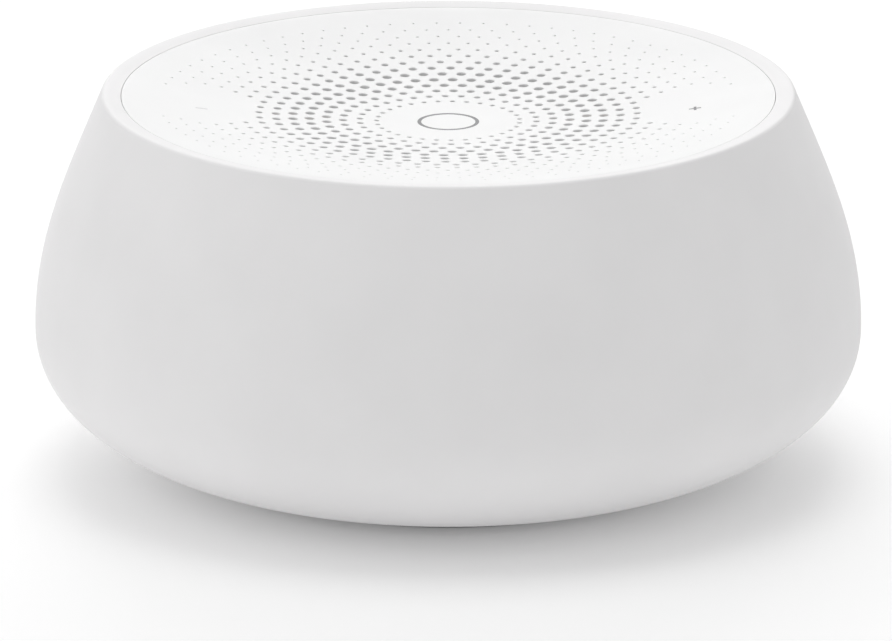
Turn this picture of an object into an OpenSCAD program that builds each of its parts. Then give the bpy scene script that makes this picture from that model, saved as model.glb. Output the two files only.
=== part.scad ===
// Small round tabletop smart speaker: a one-piece bowl with a dished, perforated touch panel on top,
// an upward-firing driver in a sealed chamber, and a screwed base on a rubber ring.
// Z is up, the origin is the centre of the face it stands on, and the power socket is at the back, +Y.

/* [Body] */
// Largest diameter of the bowl
body_d = 110; // [109:0.5:112]
// Height from the table to the rim
body_h = 51.1; // [50.9:0.1:51.3]
// Diameter over the rim
rim_d = 91.9; // [91.5:0.1:92.3]
// Height of the widest point
belly_z = 19.2; // [18.9:0.1:19.5]
// Diameter where the bowl ends at the base
base_d = 67.4; // [67:0.1:68]
// Height of the bowl's lower edge above the table
base_z = 1.5; // [1.2:0.1:1.6]
// Wall thickness of the bowl
wall_t = 2; // [1.8:0.1:2.2]

/* [Top panel] */
// Diameter of the panel
panel_d = 86.7; // [86:0.1:87]
// Gap round the panel
seam = 0.1; // [0.1:0.05:0.3]
// Thickness of the panel
panel_t = 1.6; // [1.4:0.1:1.8]
// Depth of the dish at its centre, below the rim
dish_depth = 4.2; // [4:0.05:4.2]
// Radius of the dish
dish_r = 245; // [240:1:246]
// Number of rings of holes
rings = 14; // [8:1:14]
// Radius of the first ring
ring_first = 9.5; // [9:0.1:10]
// Distance from ring to ring
ring_step = 2.225; // [2:0.005:2.23]
// Smallest hole
hole_min = 0.22; // [0.2:0.01:0.4]
// How much larger the largest hole is
hole_gain = 1.05; // [0.7:0.01:1.1]
// Distance of the two volume zones from the centre
zone_x = 32.7; // [32:0.1:33]
// Radius kept free of holes round a volume zone
zone_r = 7.6; // [7:0.1:8]

/* [Driver] */
// Diameter of the driver's flange
driver_d = 57; // [56:0.5:57]
// Height of the top of the driver's flange
driver_z = 41; // [40.9:0.05:41.1]

/* [Back] */
// Height of the socket's and the button's centre line
port_z = 14.8; // [14.75:0.05:14.85]
// Angle of the button from the back, towards the right
button_angle = 16; // [15:0.5:18]
// Diameter of the button
button_d = 5; // [4.5:0.1:5]
// Clearance round the button
button_gap = 0.25; // [0.2:0.05:0.3]

/* [Hidden] */
$fn = 96;

// Radii and heights that follow from the driving dimensions
belly_r = body_d / 2;
rim_r = rim_d / 2;
base_r = base_d / 2;
panel_r = panel_d / 2;
opening_r = panel_r + seam;
rim_round = 0.6;
rim_lean = 22.3;
base_lean = 11;
dish_centre_z = body_h - dish_depth + dish_r;
panel_skirt_z = body_h - dish_depth + 1.1;
ledge_t = 1.5;
ledge_r = 41.5;
floor_z = 4;
floor_t = 1.4;
floor_hole_r = 24;
base_plate_r = base_r - 1.3;

// The outline of the bowl is two cubic curves that meet upright at the belly
upper_curve = [[rim_r, body_h], [rim_r + 12.8 * sin(rim_lean), body_h - 12.8 * cos(rim_lean)],
    [belly_r, belly_z + 11.7], [belly_r, belly_z]];
lower_curve = [[belly_r, belly_z], [belly_r, belly_z - 11.5],
    [base_r + 7.2 * cos(base_lean), base_z + 7.2 * sin(base_lean)], [base_r, base_z]];
function on_curve(c, t) =
    pow(1 - t, 3) * c[0] + 3 * pow(1 - t, 2) * t * c[1] + 3 * (1 - t) * t * t * c[2] + pow(t, 3) * c[3];
function along_curve(c, t) =
    pow(1 - t, 2) * (c[1] - c[0]) + 2 * (1 - t) * t * (c[2] - c[1]) + t * t * (c[3] - c[2]);
function inside_curve(c, t, d) = on_curve(c, t) + d / norm(along_curve(c, t))
    * [along_curve(c, t)[1], -along_curve(c, t)[0]];
curve_steps = 14;
outer_points = concat(
    [for (i = [1 : curve_steps]) on_curve(upper_curve, i / curve_steps)],
    [for (i = [1 : curve_steps]) on_curve(lower_curve, i / curve_steps)]);
inner_points = concat(
    [for (i = [2 : curve_steps]) inside_curve(upper_curve, i / curve_steps, wall_t)],
    [for (i = [1 : curve_steps]) inside_curve(lower_curve, i / curve_steps, wall_t)]);

// Circles that the screws stand on, and places of the two at the back
post_r = 38;
boss_r = 29;
base_screw_r = 28;
driver_screw_r = 26;
port_screws_x = [-8, 21];
port_screws_y = 41;

// Radii of the posts, of their pilot holes and of the clearance holes above them
post_size = 2.8;
boss_size = 2.5;
port_boss_size = 2.3;
post_pilot = 1.05;
boss_pilot = 0.95;
base_pilot = 1.15;
port_pilot = 0.85;
screw_clear_r = 1.35;
board_clear_r = 1.3;
port_clear_r = 0.95;

// Boards, chamber and what lies between them
baffle_z = driver_z - 3.4;
baffle_t = 2;
baffle_top = baffle_z + baffle_t;
spreader_z = 9;
spreader_top = spreader_z + 1.2;
pad_t = 0.7;
board_z = 12;
board_t = 1.6;
board_top = board_z + board_t;
port_board_z = port_z - 2.8;
port_board_top = port_board_z + 1.2;
ribbon_z = board_top + 1;
ribbon_t = 0.15;
socket_h = 2.2;
chamber_z = 17.2;
chamber_r = 34;
chamber_t = 1.8;
wire_z = driver_z - 6.6;
wire_x = [-1.1, 1.1];
mic_r = 31.75;
mic_hole_r = 0.6;
mic_board_z = 43;

// Base and rubber ring
foot_in = 25.5;
foot_out = 30.5;
foot_chamfer = 0.4;
groove_z = base_z + 0.6;
base_screw_seat = groove_z + 1.1;

// Power socket, with the slot and the recess in the wall for its plug
usb_w = 8.94;
usb_h = 3.16;
usb_sheet = 0.3;
usb_y = [45.2, 52.4];
plug_slot = [9.6, 3.8];
plug_recess = [13.2, 7.2];
plug_recess_y = 52.8;

// Button: its flange's faces, its outer end, and the wall round it
button_flange_d = button_d + 1;
button_flange_y = [49.8, 50.8];
button_end_y = 53.9;
button_wall_y = 51;
button_recess_y = 53.3;

// Parts of the driver, measured down from its flange
driver_r = driver_d / 2;
flange_t = 1;
gap_outer_r = 7.3;
coil_r = 6.55;
top_plate_z = driver_z - 11.5;
top_plate_t = 2.5;
magnet_t = 6;
yoke_t = 3;

// A ring or a disc between two heights
module ring(r1, r2, z1, z2) {
    translate([0, 0, z1]) difference() {
        cylinder(r = r2, h = z2 - z1);
        translate([0, 0, -1]) cylinder(r = r1, h = z2 - z1 + 2);
    }
}

module disc(r, z1, z2) {
    translate([0, 0, z1]) cylinder(r = r, h = z2 - z1);
}

module block(x, y, z) {
    translate([x[0], y[0], z[0]]) cube([x[1] - x[0], y[1] - y[0], z[1] - z[0]]);
}

// Copies of the children, evenly round the Z axis at radius r
module around(r, n, first) {
    for (i = [0 : n - 1]) rotate(first + i * 360 / n) translate([r, 0, 0]) children();
}

// The layer between two depths below the dished surface, as far out as radius r
module dish_layer(depth1, depth2, r) {
    translate([0, 0, dish_centre_z]) difference() {
        intersection() {
            sphere(r = dish_r + depth2, $fn = 180);
            translate([0, 0, -dish_r - depth2 - 1]) cylinder(r = r, h = depth2 + 12);
        }
        sphere(r = dish_r + depth1, $fn = 180);
    }
}

// Pan-head screw standing on its head's seat, pointing down
module pan_screw(d, length, head_d, head_h) {
    difference() {
        union() {
            cylinder(d = head_d, h = head_h, $fn = 32);
            translate([0, 0, -length]) cylinder(d = d, h = length + 0.1, $fn = 24);
        }
        translate([0, 0, head_h - 0.6]) for (a = [0, 90])
            rotate(a) translate([-head_d * 0.32, -0.2, 0]) cube([head_d * 0.64, 0.4, 1]);
    }
}

module at_port_screws() {
    for (x = port_screws_x) translate([x, port_screws_y, 0]) children();
}

// Places children at the back, turned to the button's direction, with +Y pointing out
module at_button() {
    translate([0, 0, port_z]) rotate(-button_angle) children();
}

// Round bar or bore along +Y from y1 to y2
module bar_y(d, y1, y2) {
    translate([0, y1, 0]) rotate([-90, 0, 0]) cylinder(d = d, h = y2 - y1, $fn = 48);
}

// Flat-sided slot with round ends, along +Y
module slot_y(w, h, y1, y2) {
    for (x = [-1, 1] * (w - h) / 2) translate([x, 0, 0]) bar_y(h, y1, y2);
    block([-(w - h) / 2, (w - h) / 2], [y1, y2], [-h / 2, h / 2]);
}

// Solid of the bowl's outer form, up to its crest
module bowl_form() {
    corner = rim_round * tan((90 - rim_lean) / 2);
    rim_arc = [for (a = [0 : 5]) let (turn = a * (90 - rim_lean) / 5)
        [rim_r - corner + rim_round * sin(turn), body_h - rim_round + rim_round * cos(turn)]];
    rotate_extrude() polygon(concat([[0, body_h]], rim_arc, outer_points, [[0, base_z]]));
}

// Space inside the bowl, between its floor and the ledge that carries the panel
module bowl_space() {
    lower = floor_z + floor_t;
    upper = panel_skirt_z - ledge_t;
    kept = [for (p = inner_points) if (p[1] > lower + 0.2 && p[1] < upper - 0.6) p];
    shelf_r = kept[0][0] - 0.9;
    rotate_extrude() polygon(concat([[0, upper], [ledge_r, upper], [shelf_r, upper - 0.4]], kept,
        [[kept[len(kept) - 1][0] - 1, lower], [0, lower]]));
}

module outer_housing() {
    color("whitesmoke") difference() {
        bowl_form();
        difference() {
            bowl_space();
            around(post_r, 4, 45) disc(post_size, 0, baffle_z);
            around(boss_r, 4, 22.5) disc(boss_size, 0, spreader_z);
            around(base_screw_r, 4, 45) disc(post_size, 0, spreader_z - 0.5);
            at_port_screws() disc(port_boss_size, 0, port_board_z);
            block([-8, 8], [50.4, 60], [port_z - 5, port_z + 5]);
            at_button() bar_y(2 * button_d, button_wall_y, 60);
        }
        disc(opening_r, panel_skirt_z, body_h + 1);
        translate([0, 0, dish_centre_z]) sphere(r = dish_r, $fn = 180);
        disc(ledge_r, panel_skirt_z - ledge_t - 1, body_h);
        disc(floor_hole_r, 0, floor_z + floor_t + 1);
        disc(base_plate_r + 0.2, 0, floor_z);
        around(post_r, 4, 45) disc(post_pilot, baffle_z - 8, baffle_z + 1);
        around(boss_r, 4, 22.5) disc(boss_pilot, 5, spreader_z + 1);
        around(base_screw_r, 4, 45) disc(base_pilot, 0, spreader_z - 1.3);
        at_port_screws() disc(port_pilot, port_board_z - 4, port_board_z + 1);
        translate([0, 0, port_z]) {
            slot_y(plug_slot[0], plug_slot[1], 49, 60);
            slot_y(plug_recess[0], plug_recess[1], plug_recess_y, 60);
        }
        at_button() {
            bar_y(button_flange_d + 0.8, 48, button_wall_y);
            bar_y(button_d + 2 * button_gap, 49, 60);
            bar_y(button_d + 3.4, button_recess_y, 60);
        }
    }
}

function ring_r(k) = ring_first + ring_step * k;
// Spacing along a ring: tight near the centre, even in the middle and open at the edge
function ring_pitch(k) = 2.55 + 0.01 * (k - 6.5) + 0.002 * pow(k - 6.5, 3);
function ring_holes(k) = round(2 * PI * ring_r(k) / ring_pitch(k));
// Holes are largest on the fifth ring and shrink both ways
function hole_d(k) = hole_min + hole_gain * exp(-pow((k - 4.1) / 4.3, 2));
// The rings near the centre are turned a little
function hole_twist(k) = -3.5 * exp(-pow(k / 5, 2));
function hole_angle(k, i) = 90 + hole_twist(k) + (i + (k % 2) / 2) * 360 / ring_holes(k);
function clear_of_zones(r, a) = norm([abs(r * cos(a)) - zone_x, r * sin(a)]) > zone_r;

module top_grille() {
    clip_z = panel_skirt_z - ledge_t - 0.15;
    clip_r = ledge_r - 0.9;
    clip_w = 6;
    color("white") difference() {
        union() {
            dish_layer(0, panel_t, panel_r);
            intersection() {
                ring(panel_r - 1.5, panel_r, panel_skirt_z, body_h);
                dish_layer(0.1, 12, panel_r);
            }
            around(clip_r, 4, 0) {
                block([-0.6, 0.6], [-clip_w / 2, clip_w / 2], [clip_z - 1.8, body_h - dish_depth + 2.1]);
                translate([0, clip_w / 2, 0]) rotate([90, 0, 0]) linear_extrude(clip_w)
                    polygon([[0.5, clip_z], [1.6, clip_z], [0.5, clip_z - 1.8]]);
            }
        }
        translate([0, 0, dish_centre_z])
            for (k = [0 : rings - 1], i = [0 : ring_holes(k) - 1]) {
                a = hole_angle(k, i);
                if (clear_of_zones(ring_r(k), a))
                    rotate([0, 180 - asin(ring_r(k) / dish_r), a])
                        translate([0, 0, dish_r - 1]) cylinder(d = hole_d(k), h = 4, $fn = 20);
            }
    }
}

// Thin conductive film bonded under the panel: three touch pads joined by a strip
module touch_film() {
    color("darkgoldenrod") intersection() {
        dish_layer(panel_t + 0.02, panel_t + 0.2, 42);
        linear_extrude(body_h) union() {
            for (x = [-1, 1] * zone_x) translate([x, 0]) circle(r = 5.4);
            circle(r = 8);
            translate([-zone_x, -1.5]) square([2 * zone_x, 3]);
        }
    }
}

// Annular backing under the panel, bonded along its outer rim, that carries the microphones
module touch_carrier() {
    color("ghostwhite") difference() {
        union() {
            dish_layer(panel_t + 0.3, panel_t + 1.8, 39.5);
            intersection() {
                ring(38.3, 39.5, 44, body_h);
                dish_layer(panel_t + 0.02, 12, 39.5);
            }
            intersection() {
                around(mic_r, 2, 90) for (y = [-3.4, 3.4])
                    translate([0, y, 0]) disc(0.9, mic_board_z + 1, body_h);
                dish_layer(panel_t + 0.5, 12, 39);
            }
        }
        disc(25, 40, body_h);
        around(mic_r, 2, 90) disc(mic_hole_r, 40, body_h);
        block([36, 37.6], [-3.4, 3.4], [40, body_h]);
    }
}

module mic_boards() {
    color("darkgreen") around(mic_r, 2, 90) {
        difference() {
            block([-2.8, 2.8], [-4.5, 4.5], [mic_board_z, mic_board_z + 1]);
            disc(mic_hole_r, 40, 50);
        }
        block([-1.3, 1.3], [-1.8, 1.8], [mic_board_z - 1, mic_board_z]);
    }
}

// Rubber tubes that seal each microphone to its sound hole
module mic_boots() {
    boot_r = 2.2;
    backing_z = dish_centre_z - sqrt(pow(dish_r + panel_t + 1.8, 2) - pow(mic_r - boot_r, 2));
    color("dimgray") around(mic_r, 2, 90) ring(mic_hole_r, boot_r, mic_board_z + 1, backing_z);
}

module driver_basket() {
    z = driver_z;
    color("dimgray") difference() {
        union() {
            rotate_extrude() polygon([[21, z], [driver_r, z], [driver_r, z - flange_t], [22.6, z - flange_t],
                [17.4, z - 7.6], [15, z - 9], [11, z - 9], [11, z - 8], [14.2, z - 8], [14.2, z - 7],
                [16.4, z - 7]]);
            block([-5, 5], [-22, -16.9], [z - 8.1, z - 7.1]);
        }
        around(19, 4, 0) block([-6, 6], [-7, 7], [z - 6, z - 1.7]);
        around(driver_screw_r, 4, 45) disc(screw_clear_r, z - 2, z + 1);
    }
}

module driver_gasket() {
    color("black") difference() {
        ring(22.8, driver_r - 0.2, baffle_top, driver_z - flange_t);
        around(driver_screw_r, 4, 45) disc(screw_clear_r, baffle_z, driver_z);
    }
}

// Rubber half-roll between the cone and the flange
module surround() {
    color("black") translate([0, 0, driver_z]) rotate_extrude() {
        translate([17.2, 0]) square([1.5, 0.4]);
        translate([21.1, 0]) square([2.9, 0.4]);
        difference() {
            translate([19.9, 0.2]) circle(r = 1.5);
            translate([19.9, 0.2]) circle(r = 1.1);
            translate([17, -3]) square([6, 3]);
        }
    }
}

module speaker_cone() {
    z = driver_z;
    color("dimgray") rotate_extrude() polygon([[18.6, z], [17, z], [14, z - 2.1], [11, z - 3.8],
        [8.5, z - 4.9], [6.8, z - 5.4], [6.8, z - 5.9], [8.6, z - 5.45], [11.2, z - 4.35],
        [14.3, z - 2.6], [17.2, z - 0.5], [18.6, z - 0.5]]);
}

module dust_cap() {
    base_z0 = driver_z - 4.88;
    rise = 2.4;
    cap_r = (8.5 * 8.5 + rise * rise) / (2 * rise);
    color("black") difference() {
        translate([0, 0, base_z0 + rise - cap_r]) difference() {
            sphere(r = cap_r);
            sphere(r = cap_r - 0.35);
        }
        disc(cap_r + 1, -10, base_z0);
    }
}

module voice_coil() {
    color("sandybrown") {
        ring(coil_r, coil_r + 0.2, driver_z - 14.5, driver_z - 4.8);
        ring(coil_r + 0.2, coil_r + 0.5, driver_z - 13.6, driver_z - 7.8);
    }
}

// Corrugated cloth disc that centres the coil
module spider() {
    inner = coil_r + 0.25;
    waves = 4;
    steps = 24;
    span = 14.2 - inner;
    line = [for (i = [0 : steps]) [inner + span * i / steps, 0.35 * sin(360 * waves * i / steps)]];
    color("khaki") translate([0, 0, driver_z - 7]) rotate_extrude() polygon(concat(
        line, [[16.2, 0], [16.2, 0.35]], [for (i = [steps : -1 : 0]) line[i] + [0, 0.35]]));
}

module top_plate() {
    color("silver") ring(gap_outer_r, 15, top_plate_z, top_plate_z + top_plate_t);
}

module magnet() {
    color("darkslategray") ring(9, 15.8, top_plate_z - magnet_t, top_plate_z);
}

module yoke() {
    back = top_plate_z - magnet_t;
    color("silver") difference() {
        union() {
            disc(14.5, back - yoke_t, back);
            disc(coil_r - 0.35, back - yoke_t, top_plate_z + top_plate_t);
        }
        disc(2, back - yoke_t - 1, driver_z);
    }
}

// Plate across the chamber's mouth that the driver is screwed to
module baffle() {
    color("gray") difference() {
        union() {
            disc(chamber_r + 0.3, baffle_z, baffle_top);
            around(post_r, 4, 45) {
                disc(3.2, baffle_z, baffle_top);
                block([-8, 0], [-3.2, 3.2], [baffle_z, baffle_top]);
            }
            around(driver_screw_r, 4, 45) disc(2.4, baffle_z - 4.4, baffle_top);
        }
        disc(22.9, baffle_z - 1, baffle_top + 1);
        around(post_r, 4, 45) disc(screw_clear_r, baffle_z - 1, baffle_top + 1);
        around(driver_screw_r, 4, 45) disc(post_pilot, baffle_z - 4, baffle_top + 1);
    }
}

module rear_chamber() {
    color("gray") difference() {
        disc(chamber_r, chamber_z, baffle_z);
        disc(chamber_r - chamber_t, chamber_z + chamber_t, baffle_z + 1);
        translate([0, 0, wire_z]) bar_y(5.1, -chamber_r - 1, -30);
    }
}

module main_board() {
    color("darkgreen") difference() {
        disc(chamber_r - 0.7, board_z, board_top);
        around(boss_r, 4, 22.5) disc(board_clear_r, board_z - 1, board_top + 1);
    }
}

module processor() {
    color("black") block([-7, 7], [-7, 7], [spreader_top + pad_t, board_z]);
}

module thermal_pad() {
    color("lightsteelblue") block([-6.5, 6.5], [-6.5, 6.5], [spreader_top, spreader_top + pad_t]);
}

// Memory, amplifier and power parts on the upper side of the board
module board_chips() {
    color("black") {
        block([-20, -12], [4, 10], [board_top, board_top + 1]);
        block([-21, -14], [-9, -2], [board_top, board_top + 0.9]);
        block([-8, -3], [-18, -13], [board_top, board_top + 2]);
        block([-1, 4], [-18, -13], [board_top, board_top + 2]);
        block([9, 14], [-16, -11], [board_top, board_top + 0.9]);
        block([-8, -4], [14, 20], [board_top, board_top + 1.2]);
    }
}

module shield_can() {
    color("silver") difference() {
        block([4, 22], [-2, 14], [board_top, board_top + 2]);
        block([4.2, 21.8], [-1.8, 13.8], [board_top - 1, board_top + 1.8]);
    }
}

// Sockets for the two ribbons, the speaker wires and the antenna lead
module board_sockets() {
    color("ivory") {
        block([26.5, 31], [-4, 4], [board_top, board_top + socket_h]);
        block([0, 8], [25, 29.5], [board_top, board_top + socket_h]);
        block([-3, 3], [-31, -27], [board_top, board_top + socket_h]);
        block([-31, -28], [-1.5, 1.5], [board_top, board_top + 1.6]);
        block([0, 8], [38.2, 41.4], [port_board_top, port_board_top + socket_h]);
    }
}

// Flat ribbon from the touch film down to the board
module touch_cable() {
    x = chamber_r + 2.8;
    color("white") union() {
        block([x, x + ribbon_t], [-2.5, 2.5], [ribbon_z, body_h - dish_depth + 0.85]);
        block([31, x + ribbon_t], [-2.5, 2.5], [ribbon_z, ribbon_z + ribbon_t]);
    }
}

module port_cable() {
    color("white") block([1.5, 6.5], [29.5, 38.2], [ribbon_z, ribbon_z + ribbon_t]);
}

// Wire in the YZ plane: out along Y at z1, up at y_out, and back along Y at z2
module riser_wire(d, y_start, y_out, z1, z2, y_end) {
    bend = 1.5;
    bar_y(d, y_start, y_out - bend);
    translate([0, 0, z2 - z1]) bar_y(d, y_end, y_out - bend);
    translate([0, y_out, bend]) cylinder(d = d, h = z2 - z1 - 2 * bend);
    for (side = [0, 1])
        translate([0, y_out - bend, side == 0 ? bend : z2 - z1 - bend]) rotate([90, 0, 90])
            rotate(side * 90 - 90) rotate_extrude(angle = 90) translate([bend, 0]) circle(d = d);
}

module speaker_wires() {
    color("firebrick") for (x = wire_x)
        translate([x, 0, ribbon_z]) rotate(180) riser_wire(1, 31, 36.4, ribbon_z, wire_z, 19.5);
}

module wire_grommet() {
    color("black") translate([0, 0, wire_z]) difference() {
        union() {
            bar_y(5, -chamber_r - 0.6, -chamber_r + chamber_t + 0.6);
            bar_y(6.2, -chamber_r - 1.2, -chamber_r - 0.1);
        }
        for (x = wire_x) translate([x, 0, 0]) bar_y(1.1, -chamber_r - 2, -30);
    }
}

module antenna() {
    color("goldenrod") rotate(145) rotate_extrude(angle = 70)
        translate([chamber_r + 0.05, chamber_z + 7]) square([0.25, 9]);
}

module antenna_lead() {
    out = chamber_r + 0.75;
    bend = 1.5;
    lead_d = 0.8;
    color("dimgray") translate([0, 0, board_top + lead_d]) rotate(90) {
        bar_y(lead_d, 31, out - bend);
        translate([0, out - bend, bend]) rotate([90, 0, 90]) rotate(-90)
            rotate_extrude(angle = 90) translate([bend, 0]) circle(d = lead_d);
        translate([0, out, bend]) cylinder(d = lead_d, h = 11);
    }
}

module port_board() {
    color("darkgreen") difference() {
        intersection() {
            block([-12, 25], [37.6, 50], [port_board_z, port_board_top]);
            disc(49, port_board_z - 1, port_board_top + 1);
        }
        at_port_screws() disc(port_clear_r, port_board_z - 1, port_board_top + 1);
    }
}

module usb_shell() {
    color("silver") translate([0, 0, port_z]) difference() {
        slot_y(usb_w, usb_h, usb_y[0], usb_y[1]);
        slot_y(usb_w - 2 * usb_sheet, usb_h - 2 * usb_sheet, usb_y[0] + 0.4, usb_y[1] + 1);
    }
}

module usb_tongue() {
    color("black") translate([0, 0, port_z])
        block([-3.35, 3.35], [usb_y[0] + 0.4, usb_y[1] - 0.7], [-0.35, 0.35]);
}

module switch_body() {
    color("black") at_button() difference() {
        block([-2.6, 2.6], [46, 49], [-1.58, 1.6]);
        bar_y(2.3, 47.4, 50);
    }
}

module switch_plunger() {
    color("white") at_button() bar_y(1.8, 48, button_flange_y[0] - 0.05);
}

module rear_button() {
    color("gainsboro") at_button() union() {
        bar_y(button_flange_d, button_flange_y[0], button_flange_y[1]);
        bar_y(button_d, button_flange_y[1] - 0.1, button_end_y);
        translate([0, button_end_y, 0]) rotate([-90, 0, 0])
            cylinder(d1 = button_d, d2 = button_d - 0.8, h = 0.3, $fn = 48);
    }
}

// Metal plate that spreads the processor's heat and adds weight low down
module heat_spreader() {
    color("lightgray") difference() {
        union() {
            disc(31.5, spreader_z, spreader_top);
            around(boss_r, 4, 22.5) disc(2.4, spreader_z, board_z);
        }
        around(boss_r, 4, 22.5) disc(board_clear_r, spreader_z - 1, board_z + 1);
    }
}

module base_plate() {
    color("whitesmoke") difference() {
        union() {
            disc(base_plate_r, base_z, floor_z);
            ring(14, 15.2, floor_z, floor_z + 2.4);
            around(0, 6, 30) block([14.5, 22.5], [-0.6, 0.6], [floor_z - 0.1, floor_z + 2]);
        }
        ring(foot_in - 0.1, foot_out + 0.1, base_z - 1, groove_z);
        around(base_screw_r, 4, 45) {
            disc(screw_clear_r, 0, floor_z + 1);
            disc(2.3, 0, base_screw_seat);
        }
    }
}

module foot_ring() {
    c = foot_chamfer;
    color("dimgray") rotate_extrude() polygon([[foot_in, c], [foot_in + c, 0], [foot_out - c, 0],
        [foot_out, c], [foot_out, groove_z], [foot_in, groove_z]]);
}

module base_screws() {
    color("silver") around(base_screw_r, 4, 45)
        translate([0, 0, base_screw_seat]) mirror([0, 0, 1]) pan_screw(2.2, 4.3, 4.2, 1.05);
}

module board_screws() {
    color("silver") around(boss_r, 4, 22.5) translate([0, 0, board_top]) pan_screw(1.8, 7.6, 3.4, 1.3);
}

module baffle_screws() {
    color("silver") around(post_r, 4, 45) translate([0, 0, baffle_top]) pan_screw(2, 9, 4, 1.4);
}

module driver_screws() {
    color("silver") around(driver_screw_r, 4, 45) translate([0, 0, driver_z]) pan_screw(2, 7, 3.6, 1.3);
}

module port_screws() {
    color("silver") at_port_screws() translate([0, 0, port_board_top]) pan_screw(1.6, 4.8, 3, 1.1);
}

outer_housing();
top_grille();
touch_film();
touch_carrier();
mic_boards();
mic_boots();
driver_basket();
driver_gasket();
surround();
speaker_cone();
dust_cap();
voice_coil();
spider();
top_plate();
magnet();
yoke();
baffle();
rear_chamber();
main_board();
processor();
board_chips();
shield_can();
board_sockets();
touch_cable();
port_cable();
speaker_wires();
wire_grommet();
antenna();
antenna_lead();
port_board();
usb_shell();
usb_tongue();
switch_body();
switch_plunger();
rear_button();
heat_spreader();
thermal_pad();
base_plate();
foot_ring();
base_screws();
board_screws();
baffle_screws();
driver_screws();
port_screws();
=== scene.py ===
"""Looks of a small round tabletop smart speaker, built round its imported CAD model.

The bowl, the perforated panel, the rubber ring and the soft parts of the driver are remade as fine meshes
from the same driving dimensions as the CAD. Every other CAD node stays and gets a material.
Shapes are worked out in millimetres and written to meshes in metres.
"""

import math
from collections import namedtuple

import bmesh
import bpy
import numpy as np
from mathutils import Matrix, Vector
from mathutils.geometry import delaunay_2d_cdt


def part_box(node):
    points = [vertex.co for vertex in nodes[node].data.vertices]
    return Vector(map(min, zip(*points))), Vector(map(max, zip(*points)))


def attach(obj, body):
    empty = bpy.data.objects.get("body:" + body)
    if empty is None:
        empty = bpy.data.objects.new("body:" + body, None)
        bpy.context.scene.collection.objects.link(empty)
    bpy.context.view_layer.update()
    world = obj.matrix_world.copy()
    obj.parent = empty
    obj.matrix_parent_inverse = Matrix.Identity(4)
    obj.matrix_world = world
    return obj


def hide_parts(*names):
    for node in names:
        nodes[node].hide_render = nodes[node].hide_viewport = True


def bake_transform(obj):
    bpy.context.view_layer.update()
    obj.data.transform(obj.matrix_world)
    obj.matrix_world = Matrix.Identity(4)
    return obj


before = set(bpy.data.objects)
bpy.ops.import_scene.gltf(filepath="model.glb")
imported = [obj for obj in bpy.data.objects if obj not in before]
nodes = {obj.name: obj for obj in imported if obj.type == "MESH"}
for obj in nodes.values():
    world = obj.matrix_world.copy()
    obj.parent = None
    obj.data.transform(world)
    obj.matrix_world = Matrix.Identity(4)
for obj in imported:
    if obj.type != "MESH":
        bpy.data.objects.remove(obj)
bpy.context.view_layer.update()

MM = 0.001


def node_box(name):
    """Lowest and highest corner of a CAD node, in millimetres."""
    low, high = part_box(name)
    return low / MM, high / MM


# ---------------------------------------------------------------- dimensions, in millimetres

housing_low, housing_high = node_box("outer_housing")
foot_high = node_box("foot_ring")[1]

# Outer form of the bowl
BELLY_R = housing_high.x
RIM_Z = housing_high.z
BASE_Z = housing_low.z
RIM_R = 45.95
BELLY_Z = 19.2
BASE_R = 33.7
WALL_T = 2.0
RIM_ROUND = 0.6
RIM_LEAN = math.radians(22.3)
BASE_LEAN = math.radians(11)
RIM_HANDLE = 12.8
BELLY_HANDLE_UP = 11.7
BELLY_HANDLE_DOWN = 11.5
BASE_HANDLE = 7.2
CURVE_STEPS = 40

# Inside of the bowl, and the opening for the panel
PANEL_R = node_box("top_grille")[1].x
SEAM = 0.07
OPENING_R = PANEL_R + SEAM
SEAM_BREAK = 0.04
LEDGE_R = 41.5
LEDGE_T = 1.5
FLOOR_Z = 4.0
FLOOR_T = 1.4
FLOOR_HOLE_R = 24.0
PLATE_R = BASE_R - 1.3

# Dished panel with its holes
PANEL_T = 1.6
PANEL_EDGE_ROUND = 0.04
DISH_DEPTH = 4.2
DISH_R = 245.0
DISH_Z = RIM_Z - DISH_DEPTH
DISH_CENTRE_Z = DISH_Z + DISH_R
SKIRT_Z = DISH_Z + 1.1
RINGS = 14
RING_FIRST = 9.5
RING_STEP = 2.225
HOLE_MIN = 0.22
HOLE_GAIN = 1.05
WIDEST_RING = 4.1
HOLE_SPREAD = 4.3
HOLE_PITCH = 2.55
TWIST = -3.5
TWIST_RINGS = 5
HOLE_BREAK = 0.09
HOLE_SIDES = 20
RIM_TURNS = 360
FACE_GRID = 1.2
ZONE_X = 32.7
ZONE_R = 7.6

# Printed marks
SIGN_Y = -1.2
SIGN_SPAN = 1.6
INK_PROUD = 0.015
INK_T = 0.03

# Levels inside, and the openings at the back
POST_FOOT_Z = 2.0
BAFFLE_Z = 37.6
SPREADER_Z = 9.0
PORT_BOARD_Z = 12.0
PORT_Z = 14.8
PORT_HOLE = (9.6, 3.8)
PORT_POCKET = (13.2, 7.2)
PORT_POCKET_Y = 52.8
PORT_PAD_Y = 50.4
BUTTON_ANGLE = math.radians(16)
BUTTON_HOLE_D = 5.5
BUTTON_FLANGE_D = BUTTON_HOLE_D + 1.3
BUTTON_POCKET_D = 8.4
BUTTON_PAD_D = 10.0
OUTSIDE_Y = 60.0

# Radii between which the driver's soft parts stretch
SURROUND_STILL, SURROUND_MOVING = 21.2, 18.6
SPIDER_STILL, SPIDER_MOVING = 14.2, 7.2

TURNS = 288


# ---------------------------------------------------------------- mesh helpers


def new_object(name, mesh):
    piece = bpy.data.objects.new(name, mesh)
    bpy.context.scene.collection.objects.link(piece)
    return piece


def mesh_from(name, points, faces):
    """A mesh from points in millimetres."""
    mesh = bpy.data.meshes.new(name)
    mesh.from_pydata((np.asarray(points, float) * MM).tolist(), [], faces)
    mesh.validate()
    mesh.update()
    return mesh


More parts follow.
